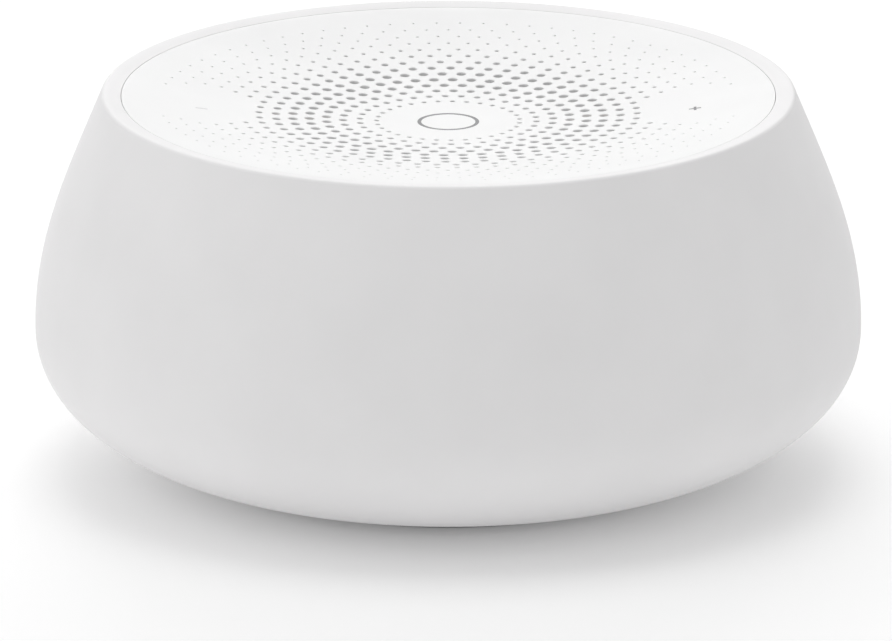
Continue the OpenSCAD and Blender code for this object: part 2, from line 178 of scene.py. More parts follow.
def outward(mesh):
    """Turns every face of a closed mesh outward."""
    work = bmesh.new()
    work.from_mesh(mesh)
    bmesh.ops.recalc_face_normals(work, faces=work.faces)
    work.to_mesh(mesh)
    work.free()
    return mesh


def revolved(name, outline, turns=TURNS):
    """A closed mesh from a closed outline of (r, z) points turned about Z. Points at r = 0 become poles."""
    angles = np.linspace(0, 2 * math.pi, turns, endpoint=False)
    points, rows = [], []
    for r, z in outline:
        if r < 1e-6:
            rows.append([len(points)] * turns)
            points.append((0, 0, z))
        else:
            rows.append(list(range(len(points), len(points) + turns)))
            points += [(r * math.cos(a), r * math.sin(a), z) for a in angles]
    faces = []
    for row, after in zip(rows, rows[1:] + rows[:1]):
        for i in range(turns):
            j = (i + 1) % turns
            corners = [row[i], row[j], after[j], after[i]]
            corners = [c for n, c in enumerate(corners) if c not in corners[:n]]
            if len(corners) > 2:
                faces.append(corners)
    return outward(mesh_from(name, points, faces))


def circle_points(count):
    """Evenly spaced points of a circle of radius 1."""
    return [(math.cos(2 * math.pi * i / count), math.sin(2 * math.pi * i / count)) for i in range(count)]


def tube(loops):
    """Faces between closed loops of vertex numbers that follow one another."""
    faces = []
    for upper, lower in zip(loops, loops[1:]):
        n = len(upper)
        faces += [[upper[i], upper[(i + 1) % n], lower[(i + 1) % n], lower[i]] for i in range(n)]
    return faces


def prism(name, points):
    """A closed mesh between two outlines of equally many points, listed one after the other."""
    n = len(points) // 2
    first, last = list(range(n)), list(range(n, 2 * n))
    return outward(mesh_from(name, points, tube([first, last]) + [first[::-1], last]))


def bar(radius, start, end, sides=48):
    """A round bar between two points, as a mesh."""
    start, end = Vector(start), Vector(end)
    turn = (end - start).normalized().to_track_quat("Z", "Y").to_matrix()
    circle = circle_points(sides)
    return prism("bar", [p + turn @ Vector((radius * c, radius * s, 0))
                         for p in (start, end) for c, s in circle])


def block(low, high):
    """A box between two corners, as a mesh."""
    points = [(x, y, z) for x in (low[0], high[0]) for y in (low[1], high[1]) for z in (low[2], high[2])]
    faces = [(0, 1, 3, 2), (4, 6, 7, 5), (0, 4, 5, 1), (2, 3, 7, 6), (0, 2, 6, 4), (1, 5, 7, 3)]
    return outward(mesh_from("block", points, faces))


def stadium_bar(size, y1, y2, z, sides=24):
    """A bar along Y whose section is flat above and below and round at its ends."""
    width, height = size
    r = height / 2
    outline = []
    for side in (1, -1):
        for i in range(sides + 1):
            a = -math.pi / 2 + math.pi * i / sides
            outline.append((side * (width / 2 - r + r * math.cos(a)), side * r * math.sin(a)))
    return prism("stadium", [(x, y, z + h) for y in (y1, y2) for x, h in outline])


def joined(meshes):
    """One mesh from several, without merging their surfaces."""
    work = bmesh.new()
    for mesh in meshes:
        work.from_mesh(mesh)
        bpy.data.meshes.remove(mesh)
    result = bpy.data.meshes.new("joined")
    work.to_mesh(result)
    work.free()
    return result


def without(target, tool):
    """One closed mesh less another. Both are used up."""
    a, b = new_object("target", target), new_object("tool", tool)
    cut = a.modifiers.new("cut", "BOOLEAN")
    cut.object = b
    cut.operation = "DIFFERENCE"
    cut.solver = "MANIFOLD"
    graph = bpy.context.evaluated_depsgraph_get()
    result = bpy.data.meshes.new_from_object(a.evaluated_get(graph))
    for piece in (a, b):
        bpy.data.objects.remove(piece)
    for mesh in (target, tool):
        bpy.data.meshes.remove(mesh)
    return result


def less(target, tools):
    """What is left of a closed mesh when each tool is taken away."""
    for tool in tools:
        target = without(target, tool)
    return target


def smooth(piece, angle):
    """Smooth shading, broken at edges sharper than the angle in degrees."""
    mesh = piece.data
    mesh.polygons.foreach_set("use_smooth", [True] * len(mesh.polygons))
    mesh.set_sharp_from_angle(angle=math.radians(angle))
    mesh.update()
    return piece


# ---------------------------------------------------------------- outline of the bowl


def on_curve(c, t):
    """A point of a cubic curve."""
    return (1 - t) ** 3 * c[0] + 3 * (1 - t) ** 2 * t * c[1] + 3 * (1 - t) * t * t * c[2] + t ** 3 * c[3]


def along_curve(c, t):
    """The direction of a cubic curve, as a unit vector."""
    d = (1 - t) ** 2 * (c[1] - c[0]) + 2 * (1 - t) * t * (c[2] - c[1]) + t * t * (c[3] - c[2])
    return d / np.linalg.norm(d)


def inside_curve(c, t, distance):
    """A point at a distance to the right of the curve's direction, which is the bowl's inside."""
    d = along_curve(c, t)
    return on_curve(c, t) + distance * np.array([d[1], -d[0]])


UPPER = np.array([
    (RIM_R, RIM_Z),
    (RIM_R + RIM_HANDLE * math.sin(RIM_LEAN), RIM_Z - RIM_HANDLE * math.cos(RIM_LEAN)),
    (BELLY_R, BELLY_Z + BELLY_HANDLE_UP),
    (BELLY_R, BELLY_Z),
])
LOWER = np.array([
    (BELLY_R, BELLY_Z),
    (BELLY_R, BELLY_Z - BELLY_HANDLE_DOWN),
    (BASE_R + BASE_HANDLE * math.cos(BASE_LEAN), BASE_Z + BASE_HANDLE * math.sin(BASE_LEAN)),
    (BASE_R, BASE_Z),
])


def dish_height(r):
    """Height of the dished surface at a radius."""
    return DISH_CENTRE_Z - math.sqrt(DISH_R ** 2 - r * r)


def bowl_outline():
    """Outer form of the bowl, from the middle of its top to the middle of its underside."""
    lean = math.pi / 2 - RIM_LEAN
    corner = RIM_ROUND * math.tan(lean / 2)
    crest_r = math.sqrt(2 * DISH_R * DISH_DEPTH - DISH_DEPTH ** 2)
    points = [(0, DISH_Z)] + [(r, dish_height(r)) for r in np.linspace(PANEL_R - 1, crest_r, 5)]
    for i in range(9):
        turn = lean * i / 8
        points.append((RIM_R - corner + RIM_ROUND * math.sin(turn),
                       RIM_Z - RIM_ROUND + RIM_ROUND * math.cos(turn)))
    points += [tuple(on_curve(UPPER, i / CURVE_STEPS)) for i in range(2, CURVE_STEPS + 1)]
    points += [tuple(on_curve(LOWER, i / CURVE_STEPS)) for i in range(1, CURVE_STEPS + 1)]
    return points + [(0, BASE_Z)]


def space_outline():
    """Space inside the bowl, between its floor and the ledge that carries the panel."""
    low, high = FLOOR_Z + FLOOR_T, SKIRT_Z - LEDGE_T
    wall = [inside_curve(UPPER, i / CURVE_STEPS, WALL_T) for i in range(3, CURVE_STEPS + 1)]
    wall += [inside_curve(LOWER, i / CURVE_STEPS, WALL_T) for i in range(1, CURVE_STEPS + 1)]
    wall = [tuple(p) for p in wall if low + 0.2 < p[1] < high - 0.6]
    top = [(0, high), (LEDGE_R, high), (wall[0][0] - 0.9, high - 0.4)]
    return top + wall + [(wall[-1][0] - 1, low), (0, low)]


def opening_outline():
    """What is cut out of the top for the panel: the seam, its broken edge and the hole inside the ledge."""
    top = dish_height(OPENING_R + SEAM_BREAK)
    return [
        (0, top + 1),
        (OPENING_R + SEAM_BREAK, top + 1),
        (OPENING_R + SEAM_BREAK, top),
        (OPENING_R + SEAM_BREAK * 0.3, top - SEAM_BREAK * 0.3),
        (OPENING_R, top - SEAM_BREAK),
        (OPENING_R, SKIRT_Z),
        (LEDGE_R, SKIRT_Z),
        (LEDGE_R, SKIRT_Z - LEDGE_T - 1),
        (0, SKIRT_Z - LEDGE_T - 1),
    ]


def square_places(radius, first):
    """Four places on a circle round the Z axis, as (x, y)."""
    angles = [first + math.pi / 2 * i for i in range(4)]
    return [(radius * math.cos(a), radius * math.sin(a)) for a in angles]


ScrewPost = namedtuple("ScrewPost", "places radius top pilot_radius pilot_low pilot_high")
SCREW_POSTS = [
    ScrewPost(square_places(38, math.pi / 4), 2.8, BAFFLE_Z, 1.05, BAFFLE_Z - 8, BAFFLE_Z + 1),
    ScrewPost(square_places(29, math.pi / 8), 2.5, SPREADER_Z, 0.95, 5, SPREADER_Z + 1),
    ScrewPost(square_places(28, math.pi / 4), 2.8, SPREADER_Z - 0.5, 1.15, 0, SPREADER_Z - 1.3),
    ScrewPost([(-8, 41), (21, 41)], 2.3, PORT_BOARD_Z, 0.85, PORT_BOARD_Z - 4, PORT_BOARD_Z + 1),
]


def button_bar(diameter, y1, y2):
    """A bar along the button's own direction, which points out at the back."""
    out = Vector((math.sin(BUTTON_ANGLE), math.cos(BUTTON_ANGLE), 0))
    height = Vector((0, 0, PORT_Z))
    return bar(diameter / 2, height + out * y1, height + out * y2, sides=64)


def posts_and_pads():
    """What stands in the space inside the bowl and belongs to the bowl."""
    posts = [bar(p.radius, (x, y, POST_FOOT_Z), (x, y, p.top)) for p in SCREW_POSTS for x, y in p.places]
    port_pad = block((-8, PORT_PAD_Y, PORT_Z - 5), (8, OUTSIDE_Y, PORT_Z + 5))
    return posts + [port_pad, button_bar(BUTTON_PAD_D, 51, OUTSIDE_Y)]


def openings_and_pilots():
    """What is cut out of the bowl: the openings above, below and at the back, and the screws' pilot holes."""
    under = [
        (0, -1),
        (PLATE_R + 0.2, -1),
        (PLATE_R + 0.2, FLOOR_Z),
        (FLOOR_HOLE_R, FLOOR_Z),
        (FLOOR_HOLE_R, FLOOR_Z + FLOOR_T + 1),
        (0, FLOOR_Z + FLOOR_T + 1),
    ]
    openings = [
        revolved("opening", opening_outline()),
        revolved("under", under),
        stadium_bar(PORT_HOLE, 49, OUTSIDE_Y, PORT_Z),
        stadium_bar(PORT_POCKET, PORT_POCKET_Y, OUTSIDE_Y, PORT_Z),
        button_bar(BUTTON_FLANGE_D, 48, 51),
        button_bar(BUTTON_HOLE_D, 49, OUTSIDE_Y),
        button_bar(BUTTON_POCKET_D, 53.3, OUTSIDE_Y),
    ]
    return openings + [bar(p.pilot_radius, (x, y, p.pilot_low), (x, y, p.pilot_high))
                       for p in SCREW_POSTS for x, y in p.places]


def make_housing():
    """The bowl, hollowed out round its posts and then cut for the panel, the base and the controls."""
    space = less(revolved("space", space_outline()), posts_and_pads())
    bowl = without(revolved("bowl", bowl_outline()), space)
    return smooth(new_object("housing_shell", less(bowl, openings_and_pilots())), 30)


# ---------------------------------------------------------------- perforated panel


def dish_point(x, y, depth=0.0):
    """A point below (x, y) of the dished surface, at a depth square to it."""
    drop = math.sqrt(DISH_R ** 2 - x * x - y * y)
    scale = (DISH_R + depth) / DISH_R
    return x * scale, y * scale, DISH_CENTRE_Z - drop * scale


def ring_radius(k):
    """Radius of a ring of holes, counted from 0 at the centre."""
    return RING_FIRST + RING_STEP * k


def ring_holes(k):
    """Holes in a ring: tight near the centre, even in the middle and open at the edge."""
    from_middle = k - (RINGS - 1) / 2
    pitch = HOLE_PITCH + 0.01 * from_middle + 0.002 * from_middle ** 3
    return round(2 * math.pi * ring_radius(k) / pitch)


def hole_list():
    """(x, y, radius) of every hole. The largest are on the fifth ring, and the volume zones have none."""
    holes = []
    for k in range(RINGS):
        radius = (HOLE_MIN + HOLE_GAIN * math.exp(-((k - WIDEST_RING) / HOLE_SPREAD) ** 2)) / 2
        count = ring_holes(k)
        twist = TWIST * math.exp(-(k / TWIST_RINGS) ** 2)
        for i in range(count):
            a = math.radians(90 + twist + (i + (k % 2) / 2) * 360 / count)
            x, y = ring_radius(k) * math.cos(a), ring_radius(k) * math.sin(a)
            if math.hypot(abs(x) - ZONE_X, y) > ZONE_R:
                holes.append((x, y, radius))
    return holes


def flat_layout(holes, flat_r):
    """Points and triangles of the panel's face, laid flat, and the vertex numbers of its outlines.

    The outlines are the holes' own, one after the other, and then the rim's. Triangles inside a hole are left
    out, and a grid of points between the holes keeps the others short enough to follow the dish.
    """
    flat, edges = [], []
    for x, y, r in holes:
        first = len(flat)
        flat += [Vector((x + (r + HOLE_BREAK) * c, y + (r + HOLE_BREAK) * s))
                 for c, s in circle_points(HOLE_SIDES)]
        edges += [(first + i, first + (i + 1) % HOLE_SIDES) for i in range(HOLE_SIDES)]
    rim_first = len(flat)
    flat += [Vector((flat_r * c, flat_r * s)) for c, s in circle_points(RIM_TURNS)]
    edges += [(rim_first + i, rim_first + (i + 1) % RIM_TURNS) for i in range(RIM_TURNS)]
    outline_count = len(flat)
    centres = np.array([(x, y) for x, y, r in holes])
    hole_clearance, rim_clearance, lines, row_step = 0.4, 0.5, 40, 0.866
    reach = np.array([r + hole_clearance for x, y, r in holes])
    for row in range(-lines, lines + 1):
        for column in range(-lines, lines + 1):
            x, y = (column + (row % 2) / 2) * FACE_GRID, row * FACE_GRID * row_step
            clear_of_holes = np.all(np.hypot(centres[:, 0] - x, centres[:, 1] - y) > reach)
            if math.hypot(x, y) < flat_r - rim_clearance and clear_of_holes:
                flat.append(Vector((x, y)))
    points, _, triangles, _, _, _ = delaunay_2d_cdt(flat, edges, [], 0, 1e-6)
    where = {(round(p[0], 5), round(p[1], 5)): i for i, p in enumerate(points)}
    outline = [where[(round(p[0], 5), round(p[1], 5))] for p in flat[:outline_count]]
    owner = {index: n // HOLE_SIDES for n, index in enumerate(outline[:rim_first])}
    solid = [t for t in triangles if len({owner.get(i, -1 - i) for i in t}) > 1]
    return points, solid, outline


def edge_loops(first, flat_r):
    """Points and vertex numbers of the loops that round the panel's upright outer edge, from the top down."""
    points, loops = [], []
    steps = 4
    for side, first_depth in ((1, PANEL_EDGE_ROUND), (-1, PANEL_T - PANEL_EDGE_ROUND)):
        turns = range(1, steps + 1) if side == 1 else range(0, steps)
        for step in turns:
            a = math.pi / 2 * step / steps
            r = flat_r + PANEL_EDGE_ROUND * (math.sin(a) if side == 1 else math.cos(a))
            depth = first_depth - side * PANEL_EDGE_ROUND * (math.cos(a) if side == 1 else math.sin(a))
            start = first + len(points)
            loops.append(list(range(start, start + RIM_TURNS)))
            points += [(r * c, r * s, dish_height(r) - depth) for c, s in circle_points(RIM_TURNS)]
    return points, loops


def perforated_sheet():
    """The panel's plate: two dished faces with holes through, and a rounded outer edge."""
    holes = hole_list()
    flat_r = PANEL_R - PANEL_EDGE_ROUND
    flat, triangles, outline = flat_layout(holes, flat_r)
    count = len(flat)
    points = [dish_point(p[0], p[1], depth) for depth in (0.0, PANEL_T) for p in flat]
    faces = [list(t) for t in triangles] + [[i + count for i in reversed(t)] for t in triangles]
    for n, (x, y, r) in enumerate(holes):
        top = outline[n * HOLE_SIDES:(n + 1) * HOLE_SIDES]
        loops = [top]
        for depth in (HOLE_BREAK, PANEL_T - HOLE_BREAK):
            loops.append(list(range(len(points), len(points) + HOLE_SIDES)))
            points += [dish_point(x + r * c, y + r * s, depth) for c, s in circle_points(HOLE_SIDES)]
        faces += tube(loops + [[i + count for i in top]])
    rim = outline[len(holes) * HOLE_SIDES:]
    edge_points, loops = edge_loops(len(points), flat_r)
    faces += tube([rim] + loops + [[i + count for i in rim]])
    return outward(mesh_from("sheet", points + edge_points, faces))


def clip(turn):
    """Stem and hooked nose of a snap clip, as two meshes turned about Z."""
    x, half_width, length = LEDGE_R - 0.9, 3, 1.8
    z = SKIRT_Z - LEDGE_T - 0.15
    stem = block((x - 0.6, -half_width, z - length), (x + 0.6, half_width, DISH_Z + 2.1))
    outline = [(0.5, z), (1.6, z), (0.5, z - length)]
    points = [(x + out, y, height) for y in (-half_width, half_width) for out, height in outline]
    nose = outward(mesh_from("nose", points,
                             [(0, 1, 2), (5, 4, 3), (0, 3, 4, 1), (1, 4, 5, 2), (2, 5, 3, 0)]))
    for mesh in (stem, nose):
        mesh.transform(Matrix.Rotation(turn, 4, "Z"))
    return [stem, nose]


def make_panel():
    """The perforated plate with its skirt and four clips."""
    inner, edge_z = PANEL_R - 1.5, dish_height(PANEL_R)
    skirt = [(inner, SKIRT_Z), (PANEL_R, SKIRT_Z), (PANEL_R, edge_z - 0.9), (inner, edge_z - 1.2)]
    meshes = [perforated_sheet(), revolved("skirt", skirt)]
    for i in range(4):
        meshes += clip(i * math.pi / 2)
    return smooth(new_object("touch_panel", joined(meshes)), 40)


# ---------------------------------------------------------------- printed marks


def inlay(name, loop):
    """A thin printed mark that follows the dish, from a closed list of (x, y)."""
    n = len(loop)
    points = [dish_point(x, y, depth) for depth in (-INK_PROUD, INK_T - INK_PROUD) for x, y in loop]
    faces = [list(range(n)), list(range(n, 2 * n))[::-1]]
    faces += [[i, n + i, n + (i + 1) % n, (i + 1) % n] for i in range(n)]
    return new_object(name, outward(mesh_from(name, points, faces)))


def plus_loop(x, y, span, stroke):
    """Outline of a plus sign."""
    a, b = span / 2, stroke / 2
    corners = [(-b, -a), (b, -a), (b, -b), (a, -b), (a, b), (b, b)]
    corners += [(b, a), (-b, a), (-b, b), (-a, b), (-a, -b), (-b, -b)]
    return [(x + u, y + v) for u, v in corners]


def bar_loop(x, y, width, height):
    """Outline of a minus sign."""
    a, b = width / 2, height / 2
    return [(x - a, y - b), (x + a, y - b), (x + a, y + b), (x - a, y + b)]


def ring_mark(name, radius, stroke, turns=96):
    """A thin printed ring that follows the dish."""
    top, bottom = -INK_PROUD, INK_T - INK_PROUD
    section = [(radius, top), (radius - stroke, top), (radius - stroke, bottom), (radius, bottom)]
    points = [dish_point(r * c, r * s, depth) for c, s in circle_points(turns) for r, depth in section]
    loops = [list(range(4 * i, 4 * i + 4)) for i in range(turns)]
    faces = tube(loops + loops[:1])
    return new_object(name, outward(mesh_from(name, points, faces)))


# ---------------------------------------------------------------- rubber ring and driver


def make_foot():
    """Rubber ring with rounded edges and three shallow grip grooves underneath."""
    width, edge, groove = 5.0, 0.4, 0.2
    inner, outer, top = foot_high.x - width, foot_high.x, foot_high.z
    inner_turn, outer_turn = np.linspace(0.3, math.pi / 2, 5), np.linspace(0, 1.27, 5)
    outline = [(inner, top), (inner, edge)]
    outline += [(inner + edge - edge * math.cos(a), edge - edge * math.sin(a)) for a in inner_turn]
    for middle in (inner + 1.3, inner + 2.5, inner + 3.7):
        outline += [(middle - 0.25, 0), (middle - 0.12, groove), (middle + 0.12, groove), (middle + 0.25, 0)]
    outline += [(outer - edge + edge * math.sin(a), edge - edge * math.cos(a)) for a in outer_turn]
    outline += [(outer, edge), (outer, top)]
    return smooth(new_object("rubber_ring", revolved("rubber_ring", outline, 192)), 35)


def radial_blend(piece, r_still, r_moving):
    """Writes the piece's placement into its mesh."""
    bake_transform(piece)


def make_surround():
    """Rubber half-roll with its two glued lips."""
    base = node_box("driver_basket")[1].z
    inner, middle, outer = 17.2, 19.9, 24.0
    lip, lift = 0.4, 0.2
    roll_outer, roll_inner = 1.5, 1.1
    arc = np.linspace(0, math.pi, 19)[2:-2]
    outline = [(outer, base), (outer, base + lip), (21.55, base + lip)]
    outline += [(middle + roll_outer * math.cos(a), base + lift + roll_outer * math.sin(a)) for a in arc]
    outline += [(18.25, base + lip), (inner, base + lip), (inner, base), (SURROUND_MOVING, base)]
    outline += [(middle - roll_inner * math.cos(a), base + lift + roll_inner * math.sin(a)) for a in arc]
    outline += [(SURROUND_STILL, base)]
    return smooth(new_object("surround_roll", revolved("surround_roll", outline, 144)), 45)


def make_spider():
    """Corrugated cloth disc between the coil and the basket."""
    thick, wave, waves, steps = 0.35, 0.35, 4, 72
    inner, outer = 6.8, 16.2
    middle = node_box("spider")[0].z + wave
    low = []
    for i in range(steps + 1):
        r = inner + (SPIDER_STILL - inner) * i / steps
        low.append((r, middle + wave * math.sin(2 * math.pi * waves * i / steps)))
    top = [(r, z + thick) for r, z in low]
    outline = low + [(outer, middle), (outer, middle + thick)] + top[::-1]
    return smooth(new_object("spider_disc", revolved("spider_disc", outline, 144)), 60)


# ---------------------------------------------------------------- materials


WAVE_SCALE = 0.314  # scale of Blender's wave texture at a pitch of 1


class Look:
    """A node material being built, with a Principled shader and object coordinates."""

    def __init__(self, name, rough=0.5, metallic=0.0, specular=0.5, coat=0.0):
        self.material = bpy.data.materials.new(name)
        self.material.use_nodes = True
        self.tree = self.material.node_tree
        self.shader = self.tree.nodes["Principled BSDF"]
        self.shader.inputs["Roughness"].default_value = rough
        self.shader.inputs["Metallic"].default_value = metallic
        self.shader.inputs["Specular IOR Level"].default_value = specular
        self.shader.inputs["Coat Weight"].default_value = coat
        self.place = self.tree.nodes.new("ShaderNodeTexCoord").outputs["Object"]
        self.normal = None

    def link(self, source, target):
        self.tree.links.new(source, target)

    def stretched(self, x, y, z):
        """Object coordinates scaled by x, y and z."""
        mapping = self.tree.nodes.new("ShaderNodeMapping")
        mapping.inputs["Scale"].default_value = (x, y, z)
        self.link(self.place, mapping.inputs["Vector"])
        return mapping.outputs["Vector"]

    def noise(self, size_mm, detail, vector=None):
        node = self.tree.nodes.new("ShaderNodeTexNoise")
        node.inputs["Scale"].default_value = 1 / (size_mm * MM)
        node.inputs["Detail"].default_value = detail
        self.link(vector or self.place, node.inputs["Vector"])
        return node.outputs["Fac"]

    def cells(self, size_mm, square=False):
        node = self.tree.nodes.new("ShaderNodeTexVoronoi")
        node.distance = "CHEBYCHEV" if square else "EUCLIDEAN"
        node.inputs["Scale"].default_value = 1 / (size_mm * MM)
        self.link(self.place, node.inputs["Vector"])
        return node.outputs["Distance"]

    def waves(self, pitch_mm, axis):
        node = self.tree.nodes.new("ShaderNodeTexWave")
        node.bands_direction = axis
        node.inputs["Scale"].default_value = WAVE_SCALE / (pitch_mm * MM)
        self.link(self.place, node.inputs["Vector"])
        return node.outputs["Fac"]

    def rings(self, pitch_mm):
        """Concentric turning marks round the Z axis."""
        node = self.tree.nodes.new("ShaderNodeTexWave")
        node.wave_type = "RINGS"
        node.rings_direction = "Z"
        node.inputs["Scale"].default_value = WAVE_SCALE / (pitch_mm * MM)
        self.link(self.place, node.inputs["Vector"])
        return node.outputs["Fac"]

    def math(self, operation, a, b):
        node = self.tree.nodes.new("ShaderNodeMath")
        node.operation = operation
        for socket, value in zip(node.inputs, (a, b)):
            if isinstance(value, (int, float)):
                socket.default_value = value
            else:
                self.link(value, socket)
        return node.outputs[0]

    def colours(self, factor, stops):
        """Base colour from a factor, by a ramp of (position, (r, g, b)) stops."""
        ramp = self.tree.nodes.new("ShaderNodeValToRGB")
        while len(ramp.color_ramp.elements) < len(stops):
            ramp.color_ramp.elements.new(0.5)
        for element, (position, colour) in zip(ramp.color_ramp.elements, stops):
            element.position = position
            element.color = (*colour, 1)
        self.link(factor, ramp.inputs["Fac"])
        self.link(ramp.outputs["Color"], self.shader.inputs["Base Color"])
        return self

    def rough(self, factor, low, high):
        node = self.tree.nodes.new("ShaderNodeMapRange")
        node.inputs["To Min"].default_value = low
        node.inputs["To Max"].default_value = high
        self.link(factor, node.inputs["Value"])
        self.link(node.outputs["Result"], self.shader.inputs["Roughness"])
        return self

    def bump(self, height, depth_mm, strength=1.0):
        node = self.tree.nodes.new("ShaderNodeBump")
        node.inputs["Distance"].default_value = depth_mm * MM
        node.inputs["Strength"].default_value = strength
        self.link(height, node.inputs["Height"])
        if self.normal is not None:
            self.link(self.normal, node.inputs["Normal"])
        self.normal = node.outputs["Normal"]
        self.link(self.normal, self.shader.inputs["Normal"])
        return self


def shades(colour, spread):
    """Two stops round a colour, a little darker and a little lighter."""
    return [(0.3, tuple(c * (1 - spread) for c in colour)),
            (0.7, tuple(min(1, c * (1 + spread)) for c in colour))]


def moulded(name, colour, rough=0.5, grain_mm=0.35, depth_mm=0.012, spread=0.015):
    """Spark-textured moulded plastic: a fine two-scale grain, with a faint cloudiness in colour and sheen."""
    look = Look(name, rough, specular=0.4)
    look.colours(look.noise(14, 2), shades(colour, spread))
    look.rough(look.noise(grain_mm * 3, 4), rough - 0.06, rough + 0.06)
    look.bump(look.noise(grain_mm, 5), depth_mm)
    look.bump(look.noise(grain_mm * 6, 2), depth_mm * 1.5)
    return look.material


def brushed(name, colour, direction, rough=0.3):
    """Metal with fine scratches along the axis that the direction stretches, or an even grain without one."""
    look = Look(name, rough, metallic=1.0)
    grain = look.noise(0.25, 4, look.stretched(*direction))
    look.colours(grain, shades(colour, 0.06))
    look.rough(grain, rough - 0.08, rough + 0.12)
    look.bump(grain, 0.006)
    return look.material


def turned(name, colour):
    """Metal with concentric turning marks and a mottled plating."""
    rough = 0.3
    look = Look(name, rough, metallic=1.0)
    look.colours(look.noise(2.5, 4), shades(colour, 0.08))
    look.rough(look.noise(1.2, 4), rough - 0.08, rough + 0.12)
    look.bump(look.rings(0.22), 0.006)
    return look.material


def rubbery(name, colour, rough=0.75):
    """Rubber or soft insulation: a dull skin with a fine grain."""
    look = Look(name, rough, specular=0.25)
    look.colours(look.noise(3, 3), shades(colour, 0.12))
    look.rough(look.noise(1, 3), rough - 0.08, rough + 0.08)
    look.bump(look.noise(0.25, 4), 0.01)
    return look.material


def foamed(name, colour):
    """Foam with open pores."""
    look = Look(name, 0.95, specular=0.1)
    pores = look.cells(0.5)
    look.colours(pores, [(0.0, tuple(c * 0.4 for c in colour)), (0.6, colour)])
    look.bump(pores, 0.12)
    return look.material


def pulp(name, colour):
    """Pressed paper: long fibres and flecks."""
    look = Look(name, 0.85, specular=0.2)
    fibres = look.noise(0.35, 6, look.stretched(1, 0.35, 1))
    look.colours(fibres, shades(colour, 0.35))
    look.rough(fibres, 0.75, 0.95)
    look.bump(fibres, 0.05)
    look.bump(look.rings(1.1), 0.03, 0.5)
    return look.material


def woven(name, colour):
    """Cloth of crossing threads."""
    look = Look(name, 0.9, specular=0.15)
    warp, weft = look.waves(0.45, "X"), look.waves(0.45, "Y")
    weave = look.math("MAXIMUM", warp, weft)
    look.colours(weave, [(0.2, tuple(c * 0.45 for c in colour)), (0.9, colour)])
    look.bump(weave, 0.08)
    return look.material


def circuit(name):
    """Green solder mask over copper tracks and pours."""
    look = Look(name, 0.35, specular=0.5, coat=0.3)
    squares = look.cells(2.4, square=True)
    lines = look.math("MULTIPLY", squares, look.waves(0.55, "X"))
    look.colours(lines, [(0.08, (0.012, 0.11, 0.045)), (0.22, (0.025, 0.19, 0.08)),
                         (0.5, (0.02, 0.15, 0.06))])
    look.rough(squares, 0.28, 0.42)
    look.bump(lines, 0.02)
    return look.material


def chip(name):
    """Black epoxy of a chip's package."""
    look = Look(name, 0.55, specular=0.3)
    look.colours(look.noise(0.3, 5), shades((0.018, 0.018, 0.02), 0.3))
    look.rough(look.noise(0.8, 4), 0.45, 0.65)
    look.bump(look.noise(0.12, 4), 0.01)
    return look.material


def wound(name):
    """Copper wire wound turn by turn."""
    look = Look(name, 0.3, metallic=1.0)
    turns = look.waves(0.2, "Z")
    look.colours(turns, [(0.1, (0.35, 0.13, 0.05)), (0.8, (0.86, 0.46, 0.25))])
    look.rough(turns, 0.25, 0.45)
    look.bump(turns, 0.05)
    return look.material


def film(name, colour, stripe_mm=None, axis="Y"):
    """Laminated film, with conductors showing through where it has stripes."""
    look = Look(name, 0.3, specular=0.5, coat=0.2)
    pattern = look.waves(stripe_mm, axis) if stripe_mm else look.noise(1.5, 3)
    look.colours(pattern, [(0.35, tuple(c * 0.7 for c in colour)), (0.6, colour)])
    look.rough(look.noise(2, 3), 0.22, 0.4)
    look.bump(pattern, 0.01)
    return look.material


def printed(name, colour):
    """Pad-printed ink: slightly uneven and faintly grainy."""
    look = Look(name, 0.6, specular=0.3)
    look.colours(look.noise(0.2, 5), shades(colour, 0.1))
    look.rough(look.noise(0.5, 3), 0.5, 0.7)
    look.bump(look.noise(0.15, 3), 0.004)
    return look.material


HOUSING_WHITE = (0.85, 0.843, 0.847)
PANEL_WHITE = (0.86, 0.86, 0.86)

